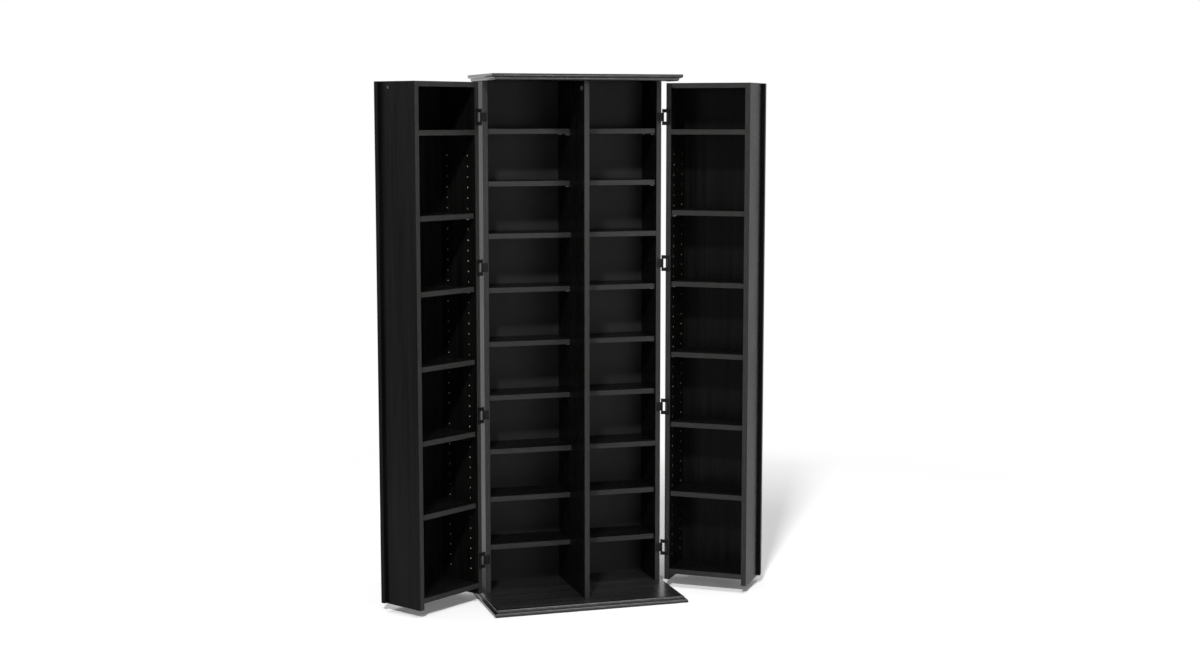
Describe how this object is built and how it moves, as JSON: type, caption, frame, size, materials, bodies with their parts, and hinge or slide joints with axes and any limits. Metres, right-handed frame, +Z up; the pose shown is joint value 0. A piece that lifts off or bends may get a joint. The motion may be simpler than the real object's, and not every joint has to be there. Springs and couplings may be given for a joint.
{
  "type": "disc storage cabinet",
  "caption": "Tall black storage tower for discs and film cases: a shelved cabinet with a forward centre divider and two deep box doors that carry shelves of their own.",
  "frame": {"origin": "on the floor under the middle of the base board", "axes": "+Z up; -Y is the front, where the doors meet when closed; +X is to the right as seen from the front"},
  "size_m": [1.2419, 0.359, 1.626],
  "materials": {
    "black_laminate": "satin black laminate on particle board",
    "back_board": "dull black hardboard",
    "hinge_steel": "black coated steel",
    "peg_steel": "bright zinc",
    "catch_steel": "bright zinc",
    "magnet": "black plastic barrel round a ferrite core",
    "knob_metal": "black nickel"
  },
  "bodies": {
    "cabinet": {"back_panel": "back_board", "base_board": "black_laminate", "cabinet_shelf_pegs": "peg_steel", "catch_plates": "catch_steel", "centre_divider": "black_laminate", "left_hinge_cabinet_leaves": "hinge_steel", "left_loose_shelf_1": "black_laminate", "left_loose_shelf_2": "black_laminate", "left_loose_shelf_3": "black_laminate", "left_loose_shelf_4": "black_laminate", "left_loose_shelf_5": "black_laminate", "left_loose_shelf_6": "black_laminate", "left_loose_shelf_7": "black_laminate", "left_lower_fixed_shelf": "black_laminate", "left_side": "black_laminate", "left_upper_fixed_shelf": "black_laminate", "right_hinge_cabinet_leaves": "hinge_steel", "right_loose_shelf_1": "black_laminate", "right_loose_shelf_2": "black_laminate", "right_loose_shelf_3": "black_laminate", "right_loose_shelf_4": "black_laminate", "right_loose_shelf_5": "black_laminate", "right_loose_shelf_6": "black_laminate", "right_loose_shelf_7": "black_laminate", "right_lower_fixed_shelf": "black_laminate", "right_side": "black_laminate", "right_upper_fixed_shelf": "black_laminate", "top_board": "black_laminate"},
    "left_door": {"left_door_bottom": "black_laminate", "left_door_fixed_shelf": "black_laminate", "left_door_free_side": "black_laminate", "left_door_front": "black_laminate", "left_door_hinge_side": "black_laminate", "left_door_knob": "knob_metal", "left_door_loose_shelf_1": "black_laminate", "left_door_loose_shelf_2": "black_laminate", "left_door_loose_shelf_3": "black_laminate", "left_door_loose_shelf_4": "black_laminate", "left_door_loose_shelf_5": "black_laminate", "left_door_magnet": "magnet", "left_door_shelf_pegs": "peg_steel", "left_door_top": "black_laminate", "left_hinge_door_leaves": "hinge_steel"},
    "right_door": {"right_door_bottom": "black_laminate", "right_door_fixed_shelf": "black_laminate", "right_door_free_side": "black_laminate", "right_door_front": "black_laminate", "right_door_hinge_side": "black_laminate", "right_door_knob": "knob_metal", "right_door_loose_shelf_1": "black_laminate", "right_door_loose_shelf_2": "black_laminate", "right_door_loose_shelf_3": "black_laminate", "right_door_loose_shelf_4": "black_laminate", "right_door_loose_shelf_5": "black_laminate", "right_door_magnet": "magnet", "right_door_shelf_pegs": "peg_steel", "right_door_top": "black_laminate", "right_hinge_door_leaves": "hinge_steel"}
  },
  "joints": [
    {"name": "left_door_hinge", "type": "hinge", "parent": "cabinet", "child": "left_door", "pos_m": [-0.291, 0.0305, 0.813], "axis": [0, 0, -1], "range_deg": [-146.5, 33.5]},
    {"name": "right_door_hinge", "type": "hinge", "parent": "cabinet", "child": "right_door", "pos_m": [0.291, 0.0305, 0.813], "axis": [0, 0, 1], "range_deg": [-143.5, 36.5]}
  ]
}
